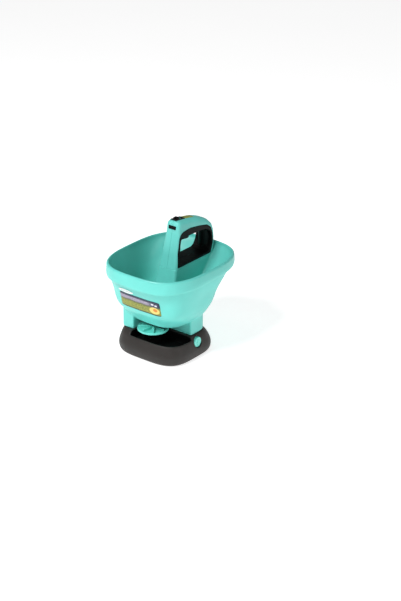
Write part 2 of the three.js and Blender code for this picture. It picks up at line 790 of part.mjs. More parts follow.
function rotorDisc() {
  const { y, radius, z } = DISC;
  const vaneCount = 8;
  const disc = bar("z", radius, 2.4, 0, y, z, 36);
  const rimProfile = [
    [radius - 2.4, 0],
    [radius, 0],
    [radius, 4],
    [radius - 0.8, 4.8],
    [radius - 1.8, 4.8],
    [radius - 2.4, 4],
    [radius - 2.4, 0],
  ].map(([r, h]) => new THREE.Vector2(r, h));
  const rim = solid(new THREE.LatheGeometry(rimProfile, 36).rotateX(Math.PI / 2).translate(0, y, z));
  const hub = bar("z", 6, 11.5, 0, y, z - 2, 16);
  const vanes = [];
  for (let i = 0; i < vaneCount; i++) {
    const vane = new THREE.BoxGeometry(radius - 6, 1.8, 7.8);
    vane.translate((radius - 6) / 2 + 4, 0, z + 5.6);
    vane.rotateZ((i / vaneCount) * 2 * Math.PI);
    vanes.push(solid(vane.translate(0, y, 0)));
  }
  return cut(join(disc, rim, hub, ...vanes), bar("z", SHAFT_RADIUS + 0.25, 30, 0, y, z - 6, 24));
}

// ---- Small parts ------------------------------------------------------------
function screwGeometry(headRadius, shankRadius, length) {
  const head = bar("z", headRadius, 1.6, 0, 0, 0, 12);
  const shank = bar("z", shankRadius, length, 0, 0, 0.8, 8);
  const slot = box(-2, 2, -0.4, 0.4, -1, 0.7);
  return geometryOf(cut(join(head, shank), slot));
}

function footGeometry() {
  const profile = [
    [0, 0],
    [6.4, 0],
    [7, 0.8],
    [7, 2.7],
    [0, 2.7],
  ].map(([r, h]) => new THREE.Vector2(r, h));
  return new THREE.LatheGeometry(profile, 16).rotateX(Math.PI / 2);
}

function cellGeometry() {
  const profile = [
    [0, 0],
    [CELL.radius - 0.4, 0],
    [CELL.radius, 0.5],
    [CELL.radius, 48.6],
    [CELL.radius - 1, 49.2],
    [2.7, 49.2],
    [2.7, CELL.length],
    [0, CELL.length],
  ].map(([r, h]) => new THREE.Vector2(r, h));
  return new THREE.LatheGeometry(profile, 12);
}

// The sheathed pair of wires from the switch in the handle, down the tower, to the plug at its foot.
function switchWires() {
  const inColumn = (x, z, offset) => [x, faceY(z) + offset, z];
  const route = [
    [11, 26, 297],
    [12, 14, 291.5],
    inColumn(12.4, 285, 6.3),
    inColumn(12.4, 262, 6),
    inColumn(12.4, 236, 6),
    inColumn(12, 206, 6.2),
    inColumn(10, 170, 8),
    [10.5, -30, 120],
    [10.5, -26, 84],
    [9.5, -24, 66.6],
  ].map(([x, y, z]) => new THREE.Vector3(x, y, z));
  const section = new THREE.Shape().absarc(0, 0, 1.3, 0, 2 * Math.PI);
  const path = new THREE.CatmullRomCurve3(route);
  return new THREE.ExtrudeGeometry(section, { steps: 28, curveSegments: 4, extrudePath: path, bevelEnabled: false });
}

function microswitch() {
  const body = box(-3, 3, 20, 34, 293.6, 301);
  const plunger = box(-1, 1, 24, 26, 290.6, 294);
  return join(body, plunger);
}

// ---- Assembly ---------------------------------------------------------------
const spreader = new THREE.Group();

function group(parent, x = 0, y = 0, z = 0) {
  const made = new THREE.Group();
  made.position.set(x, y, z);
  parent.add(made);
  return made;
}

function add(parent, name, shape, material, x = 0, y = 0, z = 0) {
  const geometry = shape.isBufferGeometry ? shape : geometryOf(shape);
  const mesh = new THREE.Mesh(geometry, material);
  mesh.name = name;
  mesh.position.set(x, y, z);
  parent.add(mesh);
  return mesh;
}

const hopperGroup = group(spreader, 0, DATUM_Y, 0);
add(hopperGroup, "hopper", hopper(), TURQUOISE);
add(hopperGroup, "hopper_rim", hopperRim(), TURQUOISE);
add(hopperGroup, "hopper_skirt", hopperSkirt(), TURQUOISE);
add(hopperGroup, "tower", towerColumn(), TURQUOISE);
add(hopperGroup, "label_panel", labelPanel(), LABEL_INK);
add(hopperGroup, "badge_oval", badgeOval(), PALE);
add(hopperGroup, "shutter_plate", shutterPlate(), BLACK);
add(hopperGroup, "link_rod", linkRod(), NYLON);
add(hopperGroup, "bell_crank", bellCrank(), NYLON);
const crankPin = bar("x", 1.5, 14, -7, 0, 0, 16);
add(hopperGroup, "crank_pin", crankPin, STEEL, 0, CRANK_PIVOT.y, CRANK_PIVOT.z);

const handleGroup = group(hopperGroup);
add(handleGroup, "handle_shell_right", handleShell(1), TURQUOISE);
add(handleGroup, "handle_shell_left", handleShell(-1), TURQUOISE);
add(handleGroup, "grip_frame_right", gripFrame(1), BLACK);
add(handleGroup, "grip_frame_left", gripFrame(-1), BLACK);
add(handleGroup, "trigger", triggerBody(), BLACK);
const triggerPin = bar("x", 1.45, 26, -13, 0, 0, 16);
add(handleGroup, "trigger_pin", triggerPin, STEEL, 0, TRIGGER_PIVOT.y, TRIGGER_PIVOT.z);
add(handleGroup, "slider_bezel", sliderBezel(), BLACK);
add(handleGroup, "rate_slider", rateSlider(), BLACK);
add(handleGroup, "scale_label", onHandleTop(7.5, 40, 70, 0.9), OLIVE_YELLOW);
add(handleGroup, "front_slot_insert", frontSlotInsert(), BLACK);
add(handleGroup, "microswitch", microswitch(), BLACK);
add(handleGroup, "switch_wires", geometryOf(solid(switchWires())), COPPER_WIRE);
add(hopperGroup, "wire_plug", box(4.6, 13, -28.4, -19.6, 61, 66.2), NYLON);
HANDLE_SCREWS.forEach(({ y, z }, i) => {
  const screw = screwGeometry(2.9, 1.2, 26);
  screw.rotateY(Math.PI / 2);
  add(handleGroup, "handle_screw_" + (i + 1), screw, STEEL, -18, y, z);
});

const standGroup = group(spreader, 0, DATUM_Y, 0);
add(standGroup, "base_shell", standShell(), CHARCOAL);
add(standGroup, "well_tray", wellTray(), BLACK);
add(standGroup, "base_plate", standPlate(), CHARCOAL);
add(standGroup, "latch_button_right", latchButton(1), TURQUOISE);
add(standGroup, "latch_button_left", latchButton(-1), TURQUOISE);
add(standGroup, "battery_box", batteryBox(), BLACK);
add(standGroup, "battery_door", batteryDoor(), CHARCOAL);
add(standGroup, "battery_door_screw", screwGeometry(2.9, 1.1, 8), STEEL, 0, 32.4, 1.3);
add(standGroup, "contact_plate_front", box(-27, 27, -28.1, -27.6, 9, 20), STEEL);
add(standGroup, "contact_plate_rear", box(-27, 27, 26.4, 26.9, 9, 20), STEEL);
for (let i = 0; i < 4; i++) {
  const cell = cellGeometry();
  if (i % 2) cell.rotateZ(Math.PI).translate(0, CELL.length, 0);
  const x = (i - 1.5) * CELL.pitch;
  add(standGroup, "battery_cell_" + (i + 1), cell, CELL_WRAP, x, -25.8, 14.4);
}
STAND_BOSSES.forEach(({ x, y }, i) => {
  add(standGroup, "base_screw_" + (i + 1), screwGeometry(3.2, 1.2, 14), STEEL, x, y, 1.1);
});
const feet = [
  [-58, -88],
  [58, -88],
  [-50, 40],
  [50, 40],
];
feet.forEach(([x, y], i) => add(standGroup, "foot_" + (i + 1), footGeometry(), RUBBER, x, y, 0));

const driveGroup = group(standGroup, 0, DISC.y, 0);
add(driveGroup, "rotor_shaft", bar("z", SHAFT_RADIUS, 53.6, 0, 0, 25.2, 24), STEEL);
add(driveGroup, "drive_gear", driveGear(), NYLON, 0, 0, GEAR.z);
add(driveGroup, "bush_lower", bush(10.4), BRASS, 0, 0, 25);
add(driveGroup, "bush_upper", bush(11.4), BRASS, 0, 0, 48.4);
add(standGroup, "rotor", rotorDisc(), TURQUOISE);
add(standGroup, "gearbox_cover", gearboxCover(), BLACK);
add(standGroup, "motor", motorCan(), STEEL, 0, MOTOR_Y, 6.4);
add(standGroup, "motor_pinion", motorPinion(), BRASS, 0, MOTOR_Y, GEAR.z);

const SPRING_SEAT = { y: 31, z: 285 };
add(handleGroup, "trigger_spring", coilSpring(2.2, 0.4, 8, 4), STEEL, 0, SPRING_SEAT.y, SPRING_SEAT.z);

export default spreader;
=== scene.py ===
"""Hand-held battery spreader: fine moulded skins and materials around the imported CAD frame.

Shapes are signed distance fields in millimetres, negative inside the plastic. Smooth unions and
intersections round the moulded edges, and surface_mesh turns a field into a closed mesh.
"""

import json
import math

import bpy
import numpy as np
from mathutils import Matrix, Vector


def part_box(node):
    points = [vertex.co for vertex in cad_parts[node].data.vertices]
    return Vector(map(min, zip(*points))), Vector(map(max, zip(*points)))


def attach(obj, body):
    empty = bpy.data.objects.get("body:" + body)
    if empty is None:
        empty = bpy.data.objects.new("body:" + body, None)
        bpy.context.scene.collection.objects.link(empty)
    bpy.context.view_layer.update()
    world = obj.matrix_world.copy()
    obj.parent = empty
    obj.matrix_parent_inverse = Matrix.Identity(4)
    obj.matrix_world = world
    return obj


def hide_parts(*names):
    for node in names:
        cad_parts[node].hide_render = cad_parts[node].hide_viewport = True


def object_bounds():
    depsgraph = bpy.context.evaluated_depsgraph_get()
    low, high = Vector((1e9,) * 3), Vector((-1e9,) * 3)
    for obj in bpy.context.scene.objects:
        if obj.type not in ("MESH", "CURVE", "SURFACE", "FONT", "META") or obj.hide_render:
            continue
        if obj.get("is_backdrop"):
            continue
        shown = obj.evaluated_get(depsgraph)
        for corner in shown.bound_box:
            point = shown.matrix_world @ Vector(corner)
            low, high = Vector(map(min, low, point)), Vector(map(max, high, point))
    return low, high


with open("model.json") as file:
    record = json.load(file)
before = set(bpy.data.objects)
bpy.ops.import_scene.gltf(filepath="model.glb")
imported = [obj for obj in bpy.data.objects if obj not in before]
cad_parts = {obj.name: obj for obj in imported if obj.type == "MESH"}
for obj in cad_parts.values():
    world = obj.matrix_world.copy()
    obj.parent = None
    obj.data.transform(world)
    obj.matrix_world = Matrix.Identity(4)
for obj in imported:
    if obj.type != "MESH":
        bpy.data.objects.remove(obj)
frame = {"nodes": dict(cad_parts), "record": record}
CAD_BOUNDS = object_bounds()
MM = 0.001


def node_box(node):
    """A CAD node's lowest and highest corners in millimetres."""
    low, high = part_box(node)
    return np.array(low) / MM, np.array(high) / MM


# ---- Driving dimensions, millimetres ---------------------------------------
# The fields below are drawn round the column's datum, which lies this far behind the rim's middle.
DATUM_Y = 6.0
RIM_LOW, RIM_HIGH = node_box("hopper_rim")
SKIRT_LOW, SKIRT_HIGH = node_box("hopper_skirt")
STAND_LOW, STAND_HIGH = node_box("base_shell")
ROTOR_LOW, ROTOR_HIGH = node_box("rotor")
BUTTON_LOW, BUTTON_HIGH = node_box("latch_button_right")
RIM_TOP = RIM_HIGH[2]
RIM_FOOT = RIM_LOW[2]
RIM_HALF_X = RIM_HIGH[0]
RIM_FRONT = RIM_LOW[1] - DATUM_Y
RIM_REAR = RIM_HIGH[1] - DATUM_Y
RIM_REAR_RISE = 8.0
RIM_WALL = 2.8
# How far the band's face stands in from its widest line, by height.
RIM_FACE = np.array([[RIM_FOOT, 1.8], [203, 0.4], [210, 0], [224, 0.8], [228.8, 1.4], [RIM_TOP, 2.0]])
BOWL_WALL = 3.0
FLOOR = 83.0
# Hopper sections: height, half width, front edge, rear edge, squareness of the corners.
BOWL = np.array([
    [FLOOR, 58, -84, 30, 3],
    [88, 70, -89, 38, 3],
    [98, 84, -95, 47, 3],
    [119, 98, -112, 56, 3.5],
    [164, 111.5, -126, 77, 3.5],
    [200, 119.5, -140, 116, 3.2],
    [226, 122, -150.5, 138.5, 3],
    [RIM_TOP, 122, -150.5, 138.5, 3],
])
SKIRT_HALF_X = SKIRT_HIGH[0]
SKIRT_REAR = SKIRT_HIGH[1] - DATUM_Y
SKIRT_FRONT = SKIRT_LOW[1] - DATUM_Y
SKIRT_BOTTOM = SKIRT_LOW[2]
SKIRT_WALL = 2.8
BAY_WALL = -33.0
PILLAR_X = -46.0
TOWER_TOP = 205.34
# The tower's half width at the floor, at height 175 and at its top.
TOWER_HALF = (36.0, 30.0, 26.6)
# The tower's front face: how far it leans back for each millimetre up, and its place at height 175.
LEAN = 27 / 117
FACE_AT_175 = -28.0
HANDLE_FOOT = 205.4
HANDLE_WALL = 2.5
GRIP_HALF_AT_200 = 27.0
GRIP_TAPER = 0.0735
# Each half of the handle stops this far short of the middle.
SEAM = 0.15
STAND_WALL = 3.0
DECK = 2.8
GAP = 0.3
# Stand sections: height, half width, front edge, rear edge, squareness of the corners.
STAND_ROWS = np.array([
    [STAND_LOW[2], 93, -113, 57, 3.6],
    [8, 96.3, -115.5, 60, 3.6],
    [20, 98, -117, 61, 3.6],
    [40, 94, -112, 54, 3.6],
    [50, 90.5, -108, 47.5, 3.6],
    [STAND_HIGH[2], 85.5, -101, 38, 3.6],
])
WELL_LEFT = -46.0
WELL_REAR = -36.0
WELL_FLOOR = 33.0
WELL_WALL = 2.5
WELL_LIP = 50.0
DISC_Y = (ROTOR_LOW[1] + ROTOR_HIGH[1]) / 2 - DATUM_Y
DISC_RADIUS = ROTOR_HIGH[0]
# The underside of the disc's plate.
DISC_Z = ROTOR_LOW[2] + 2.0
BUTTON_Y = (BUTTON_LOW[1] + BUTTON_HIGH[1]) / 2 - DATUM_Y
BUTTON_Z = BUTTON_LOW[2] + 15.0
BUTTON_RADIUS = 12.4
BUTTON_COLLAR_RADIUS = 15.0
BUTTON_COLLAR_X = 81.0
BUTTON_CLEARANCE = 0.6
# The printed marks: the label's edges, then the middles and half sizes of the oval and the scale.
LABEL_LEFT, LABEL_RIGHT = -56.0, 61.0
LABEL_LOW, LABEL_HIGH = 131.5, 170.0
BADGE_X, BADGE_Z = -34.0, 176.2
BADGE_HALF_X, BADGE_HALF_Z = 23.0, 5.2
SCALE_Y = 55.0
SCALE_HALF_X, SCALE_HALF_Y = 7.5, 15.0
PIN_BORE_RADIUS = 1.8
TRIGGER_HALF_X = 5.6
# Straight-sided openings and blocks: lowest and highest corners.
CRANK_OPENING = ((-14, -38, FLOOR - 3), (14, 12, FLOOR + 6))
OUTLET_X = 18.5
OUTLET = ((-9.5, -78, FLOOR - 3), (9.5, -66, FLOOR + 8))
TONGUE_WINDOW = ((-9.5, BAY_WALL - 2, 79.4), (9.5, BAY_WALL + 6, FLOOR + 0.5))
HANDLE_MOUTH = ((-18.5, -17.9, 196), (18.5, 97, 211))
SLIDER_SLOT = ((-4.6, 9, 300), (4.6, 31, 340))
FRONT_SLOT = ((-10.3, -20, 298), (10.3, 3, 306.1))
TRIGGER_WELL = ((-6.5, 4.6, 262), (6.5, 61, 284))
HOOK_SLOT = ((65.2, BUTTON_Y - 6.5, 50), (78, BUTTON_Y + 6.5, 70))
PLUG_HOLE = ((-13.5, -30, 50), (13.5, -8, 70))
BUTTON_UPRIGHT = ((70, BUTTON_Y - 5, BUTTON_Z - 4), (74, BUTTON_Y + 5, 66.4))
BUTTON_NOSE = ((73, BUTTON_Y - 5, 64.2), (76.1, BUTTON_Y + 5, 66.4))
# The tray's screw boss: its axis and radius.
TRAY_SCREW_X, TRAY_SCREW_Y = 70, -60
TRAY_SCREW_RADIUS = 4
BEARING_RADIUS = 5.3


# ---- Field helpers ------------------------------------------------------------
def smin(a, b, k):
    """Union of two fields, with a fillet of about k."""
    h = np.maximum(k - np.abs(a - b), 0) / k
    return np.minimum(a, b) - h * h * k * 0.25


def smax(a, b, k):
    """Intersection of two fields, with an edge rounded by about k."""
    return -smin(-a, -b, k)


def cut(body, tool, k=0.8):
    return smax(body, -tool, k)


def box_field(p, low, high, r=0.0):
    x, y, z = p
    q = [np.abs(c - (lo + hi) / 2) - ((hi - lo) / 2 - r) for c, lo, hi in zip((x, y, z), low, high)]
    outside = np.sqrt(sum(np.maximum(c, 0) ** 2 for c in q))
    return outside + np.minimum(np.maximum(np.maximum(q[0], q[1]), q[2]), 0) - r


def bar_field(u, v, w, radius, low, high, k=0.6):
    """A round bar: u and v across it, w along it."""
    return smax(np.hypot(u, v) - radius, np.maximum(low - w, w - high), k)


def polygon_field(u, v, points, r=0.0):
    """Distance to a closed outline whose points run anticlockwise, its corners rounded by r."""
    pts = np.array(points, float)
    if r:
        pts = inset(pts, r)
    best = np.full(np.shape(u), 1e9, np.float32)
    sign = np.ones(np.shape(u), bool)
    for i in range(len(pts)):
        a, b = pts[i - 1], pts[i]
        eu, ev = b - a
        wu, wv = u - a[0], v - a[1]
        t = np.clip((wu * eu + wv * ev) / (eu * eu + ev * ev), 0, 1)
        best = np.minimum(best, (wu - eu * t) ** 2 + (wv - ev * t) ** 2)
        above = v >= a[1]
        below = v < b[1]
        left = eu * wv > ev * wu
        flip = (above & below & left) | (~above & ~below & ~left)
        sign ^= flip
    return np.where(sign, 1, -1) * np.sqrt(best) - r


def inset(pts, r):
    moved = []
    for i in range(len(pts)):
        a, b, c = pts[i - 1], pts[i], pts[(i + 1) % len(pts)]
        n0 = np.array([-(b - a)[1], (b - a)[0]]) / np.linalg.norm(b - a)
        n1 = np.array([-(c - b)[1], (c - b)[0]]) / np.linalg.norm(c - b)
        n = n0 + n1
        n = n / np.linalg.norm(n)
        moved.append(b + n * r / max(0.5, float(n @ n0)))
    return np.array(moved)


def smooth_curve(knots, values):
    """A smooth curve through a table's rows, sampled finely, as knots and values for np.interp."""
    fine = np.linspace(knots[0], knots[-1], 200)
    slopes = np.gradient(values, knots)
    i = np.clip(np.searchsorted(knots, fine, side="right") - 1, 0, len(knots) - 2)
    width = knots[i + 1] - knots[i]
    t = (fine - knots[i]) / width
    h00 = 2 * t**3 - 3 * t**2 + 1
    h10 = t**3 - 2 * t**2 + t
    h01 = 3 * t**2 - 2 * t**3
    h11 = t**3 - t**2
    out = h00 * values[i] + h10 * width * slopes[i] + h01 * values[i + 1] + h11 * width * slopes[i + 1]
    return fine, out


class OvalLoft:
    """A body whose level sections are squared ovals: rows of height, half width, front, rear, power."""

    def __init__(self, table):
        z = table[:, 0]
        self.half_x = smooth_curve(z, table[:, 1])
        self.half_y = smooth_curve(z, (table[:, 3] - table[:, 2]) / 2)
        self.mid_y = smooth_curve(z, (table[:, 3] + table[:, 2]) / 2)
        self.power = smooth_curve(z, table[:, 4])

    def at(self, curve, z):
        return np.interp(z, curve[0], curve[1])

    def level(self, x, y, z):
        u = np.abs(x) / self.at(self.half_x, z)
        v = np.abs(y - self.at(self.mid_y, z)) / self.at(self.half_y, z)
        n = self.at(self.power, z)
        return (u**n + v**n + 1e-9) ** (1 / n)

    def field(self, p):
        """Level set over its gradient's length: a true distance close to the surface."""
        x, y, z = p
        h = 0.5
        s = self.level(x, y, z)
        gx = (self.level(x + h, y, z) - s) / h
        gy = (self.level(x, y + h, z) - s) / h
        gz = (self.level(x, y, z + h) - s) / h
        return (s - 1) / np.sqrt(gx * gx + gy * gy + gz * gz + 1e-8)


# ---- Meshing --------------------------------------------------------------------
SETTLE_ROUNDS = 4


def surface_mesh(name, field, low, high, step, material):
    """A closed quad mesh of the field's zero surface (naive surface nets), then moved onto it."""
    low = np.array(low, float) - 2.5 * step
    high = np.array(high, float) + 2.5 * step
    axes = [np.arange(lo, hi, step) for lo, hi in zip(low, high)]
    values = np.empty([len(a) for a in axes], np.float32)
    for i in range(0, len(axes[0]), 16):
        part = np.meshgrid(axes[0][i:i + 16], axes[1], axes[2], indexing="ij")
        values[i:i + 16] = field(part)
    inside = values < 0
    n = [s - 1 for s in values.shape]
    corner = lambda a, dx, dy, dz: a[dx:n[0] + dx, dy:n[1] + dy, dz:n[2] + dz]
    corners = [(dx, dy, dz) for dx in (0, 1) for dy in (0, 1) for dz in (0, 1)]
    count = sum(corner(inside, *c).astype(np.int8) for c in corners)
    active = (count > 0) & (count < 8)
    cells = np.argwhere(active)
    number = np.full(active.shape, -1, np.int64)
    number[active] = np.arange(len(cells))
    total = np.zeros((len(cells), 3))
    hits = np.zeros(len(cells))
    ci, cj, ck = cells.T
    for a in corners:
        for axis in range(3):
            if a[axis]:
                continue
            b = list(a)
            b[axis] = 1
            fa = values[ci + a[0], cj + a[1], ck + a[2]]
            fb = values[ci + b[0], cj + b[1], ck + b[2]]
            cross = (fa < 0) != (fb < 0)
            t = np.where(cross, fa / np.where(cross, fa - fb, 1), 0)
            point = np.tile(np.array(a, float), (len(cells), 1))
            point[:, axis] += t
            total += np.where(cross[:, None], point, 0)
            hits += cross
    points = low + step * (cells + total / hits[:, None])
    faces = []
    for axis in range(3):
        other = [d for d in range(3) if d != axis]
        a = inside.take(range(0, n[axis]), axis=axis)
        b = inside.take(range(1, n[axis] + 1), axis=axis)
        edges = np.argwhere(a != b)
        edges = edges[(edges[:, other[0]] > 0) & (edges[:, other[1]] > 0)]
        edges = edges[(edges[:, other[0]] < n[other[0]]) & (edges[:, other[1]] < n[other[1]])]
        ring = []
        for du, dv in ((1, 1), (0, 1), (0, 0), (1, 0)):
            cell = edges.copy()
            cell[:, other[0]] -= du
            cell[:, other[1]] -= dv
            ring.append(number[cell[:, 0], cell[:, 1], cell[:, 2]])
        quad = np.stack(ring, axis=1)
        starts_inside = inside[edges[:, 0], edges[:, 1], edges[:, 2]]
        flip = ~starts_inside if axis != 1 else starts_inside
        quad[flip] = quad[flip][:, ::-1]
        faces.append(quad)
    faces = np.concatenate(faces)
    points = settled(points, field, step, SETTLE_ROUNDS)
    mesh = bpy.data.meshes.new(name)
    mesh.from_pydata((points * MM).tolist(), [], faces.tolist())
    mesh.shade_smooth()
    mesh.materials.append(material)
    piece = bpy.data.objects.new(name, mesh)
    bpy.context.scene.collection.objects.link(piece)
    return piece


def settled(points, field, step, rounds):
    """Moves points along the field's slope until they lie on its zero surface."""
    h = 0.2 * step
    for _ in range(rounds):
        x, y, z = points.T
        here = field((x, y, z))
        slope = np.stack([
            field((x + h, y, z)) - field((x - h, y, z)),
            field((x, y + h, z)) - field((x, y - h, z)),
            field((x, y, z + h)) - field((x, y, z - h)),
        ], axis=1) / (2 * h)
        length = np.maximum((slope**2).sum(axis=1), 0.25)
        move = -slope * (here / length)[:, None]
        points = points + np.clip(move, -0.5 * step, 0.5 * step)
    return points


# ---- Materials ------------------------------------------------------------------
def srgb(r, g, b):
    """Linear colour from 0-255 screen values."""
    screen = (r / 255, g / 255, b / 255)
    return tuple(c / 12.92 if c <= 0.04045 else ((c + 0.055) / 1.055) ** 2.4 for c in screen) + (1,)


class Nodes:
    """A short hand for building one material's node tree."""

    def __init__(self, name):
        self.material = bpy.data.materials.new(name)
        self.material.use_nodes = True
        self.tree = self.material.node_tree
        self.shader = self.tree.nodes["Principled BSDF"]
        self.place = self.add("ShaderNodeTexCoord").outputs["Object"]

    def add(self, kind, **settings):
        node = self.tree.nodes.new(kind)
        for key, value in settings.items():
            setattr(node, key, value)
        return node

    def link(self, source, target):
        self.tree.links.new(source, target)

    def noise(self, scale, detail=4.0, rough=0.55):
        node = self.add("ShaderNodeTexNoise")
        node.inputs["Scale"].default_value = scale
        node.inputs["Detail"].default_value = detail
        node.inputs["Roughness"].default_value = rough
        self.link(self.place, node.inputs["Vector"])
        return node.outputs["Fac"]

    def spread(self, source, low, high, out_low, out_high):
        node = self.add("ShaderNodeMapRange")
        for key, value in (("From Min", low), ("From Max", high), ("To Min", out_low), ("To Max", out_high)):
            node.inputs[key].default_value = value
        self.link(source, node.inputs["Value"])
        return node.outputs["Result"]

    def math(self, operation, a, b):
        node = self.add("ShaderNodeMath", operation=operation)
        for socket, value in zip(node.inputs, (a, b)):
            if hasattr(value, "links"):
                self.link(value, socket)
            else:
                socket.default_value = value
        return node.outputs[0]

    def mix(self, factor, a, b):
        node = self.add("ShaderNodeMix", data_type="RGBA")
        for socket, value in ((node.inputs["Factor"], factor), (node.inputs[6], a), (node.inputs[7], b)):
            if hasattr(value, "links"):
                self.link(value, socket)
            else:
                socket.default_value = value
        return node.outputs[2]

    def axes(self):
        node = self.add("ShaderNodeSeparateXYZ")
        self.link(self.place, node.inputs[0])
        return node.outputs

    def away(self, value, middle):
        """How far a value lies from a middle, either way."""
        return self.math("ABSOLUTE", self.math("SUBTRACT", value, middle), 0.0)

    def bump(self, height, strength, distance):
        node = self.add("ShaderNodeBump")
        node.inputs["Strength"].default_value = strength
        node.inputs["Distance"].default_value = distance
        self.link(height, node.inputs["Height"])
        self.link(node.outputs["Normal"], self.shader.inputs["Normal"])

    def set(self, **values):
        for key, value in values.items():
            socket = self.shader.inputs[key.replace("_", " ")]
            if hasattr(value, "links"):
                self.link(value, socket)
            else:
                socket.default_value = value
        return self.material


def shade(colour, factor):
    return tuple(min(1.0, c * factor) for c in colour[:3]) + (1,)


MOTTLING = 0.04


def moulded(name, colour, roughness, grain=900.0, relief=0.00006, edge_highlight=0.1, coat=0.0, shine=0.45):
    """Injection-moulded plastic: faint flow mottling, spark-eroded grain and a painted highlight along sharp
    edges.
    """
    n = Nodes(name)
    cloud = n.noise(14.0, 3.0)
    tone = n.spread(cloud, 0.35, 0.65, 0.0, 1.0)
    body = n.mix(tone, shade(colour, 1 - MOTTLING), shade(colour, 1 + MOTTLING))
    # Painted highlight: sharp edges, found by pointiness, are lightened towards 1.6 times the colour.
    edge = n.spread(n.add("ShaderNodeNewGeometry").outputs["Pointiness"], 0.52, 0.6, 0.0, edge_highlight)
    body = n.mix(edge, body, shade(colour, 1.6))
    fine = n.noise(grain, 2.0, 0.6)
    smear = n.noise(55.0, 4.0)
    gloss = n.spread(smear, 0.3, 0.7, roughness - 0.05, roughness + 0.06)
    n.bump(fine, 0.35, relief)
    return n.set(
        Base_Color=body,
        Roughness=gloss,
        Coat_Weight=coat,
        Coat_Roughness=0.15,
        Specular_IOR_Level=shine,
    )


def metal(name, colour, roughness):
    n = Nodes(name)
    streak = n.noise(260.0, 3.0)
    body = n.mix(streak, shade(colour, 0.85), shade(colour, 1.1))
    gloss = n.spread(n.noise(80.0), 0.3, 0.7, roughness - 0.06, roughness + 0.08)
    n.bump(streak, 0.2, 0.00004)
    return n.set(Base_Color=body, Roughness=gloss, Metallic=1.0)


def picture_label():
    """A generic printed picture: dark head band, hazy sky, lawn, a warm badge and a dark foot line."""
    n = Nodes("label_print")
    axes = n.axes()
    across = n.spread(axes["X"], LABEL_LEFT * MM, LABEL_RIGHT * MM, 0.0, 1.0)
    up = n.spread(axes["Z"], LABEL_LOW * MM, LABEL_HIGH * MM, 0.0, 1.0)
    ripple = n.spread(n.noise(60.0, 5.0, 0.7), 0.3, 0.7, -0.05, 0.05)
    height = n.math("ADD", up, ripple)

    def edge(value, place, width=0.03):
        return n.spread(value, place - width, place + width, 0.0, 1.0)

    speckle = n.spread(n.noise(420.0, 3.0, 0.7), 0.35, 0.65, 0.0, 1.0)
    lawn = n.mix(speckle, srgb(92, 104, 32), srgb(160, 160, 66))
    hedge = n.mix(speckle, srgb(58, 72, 44), srgb(104, 100, 62))
    haze = n.mix(speckle, srgb(120, 112, 136), srgb(168, 158, 176))
    colour = n.mix(edge(height, 0.52, 0.06), lawn, hedge)
    colour = n.mix(edge(height, 0.62, 0.04), colour, haze)
    corner = n.math("MULTIPLY", edge(across, 0.76, 0.05), edge(up, 0.60, 0.03))
    head = n.math("MAXIMUM", edge(up, 0.84, 0.01), corner)
    colour = n.mix(head, colour, srgb(30, 40, 66))
    colour = n.mix(n.math("SUBTRACT", 1.0, edge(up, 0.075, 0.01)), colour, srgb(14, 46, 28))
    spots = (
        (0.86, 0.34, 0.13, 0.25, srgb(222, 200, 110)),
        (0.88, 0.38, 0.055, 0.12, srgb(208, 128, 40)),
    )
    for x, z, wide, high, tint in spots:
        u = n.math("DIVIDE", n.math("SUBTRACT", across, x), wide)
        v = n.math("DIVIDE", n.math("SUBTRACT", up, z), high)
        r = n.math("ADD", n.math("MULTIPLY", u, u), n.math("MULTIPLY", v, v))
        colour = n.mix(n.spread(r, 0.7, 1.0, 1.0, 0.0), colour, tint)
    for x, z, wide, high in ((0.83, 0.76, 0.035, 0.07), (0.91, 0.72, 0.03, 0.06)):
        inside_x = n.spread(n.away(across, x), wide * 0.8, wide, 1.0, 0.0)
        inside_z = n.spread(n.away(up, z), high * 0.8, high, 1.0, 0.0)
        mark = n.math("MULTIPLY", inside_x, inside_z)
        colour = n.mix(mark, colour, srgb(214, 212, 224))
    gloss = n.spread(speckle, 0.0, 1.0, 0.28, 0.38)
    return n.set(Base_Color=colour, Roughness=gloss, Specular_IOR_Level=0.4)


def badge_print():
    """A white oval with a soft grey bar across its middle."""
    n = Nodes("badge_white")
    axes = n.axes()
    tall = n.spread(n.away(axes["Z"], BADGE_Z * MM), 0.0010, 0.0016, 1.0, 0.0)
    wide = n.spread(n.away(axes["X"], BADGE_X * MM), 0.0145, 0.0155, 1.0, 0.0)
    dash = n.spread(n.noise(520.0, 2.0), 0.42, 0.5, 0.0, 0.75)
    bar = n.math("MULTIPLY", n.math("MULTIPLY", tall, wide), dash)
    colour = n.mix(bar, srgb(226, 240, 238), srgb(96, 120, 120))
    gloss = n.spread(n.noise(90.0), 0.3, 0.7, 0.26, 0.36)
    return n.set(Base_Color=colour, Roughness=gloss, Specular_IOR_Level=0.4)


def scale_print():
    """An olive film with a rising wedge of darker bars."""
    n = Nodes("scale_yellow")
    axes = n.axes()
    stripe = n.math("PINGPONG", axes["Y"], 0.0021)
    bar = n.spread(stripe, 0.0008, 0.0010, 0.0, 1.0)
    reach = n.spread(n.math("ABSOLUTE", axes["X"], 0.0), 0.0042, 0.0046, 1.0, 0.0)
    colour = n.mix(n.math("MULTIPLY", bar, reach), srgb(164, 172, 72), srgb(88, 94, 36))
    gloss = n.spread(n.noise(90.0), 0.3, 0.7, 0.3, 0.4)
    return n.set(Base_Color=colour, Roughness=gloss)


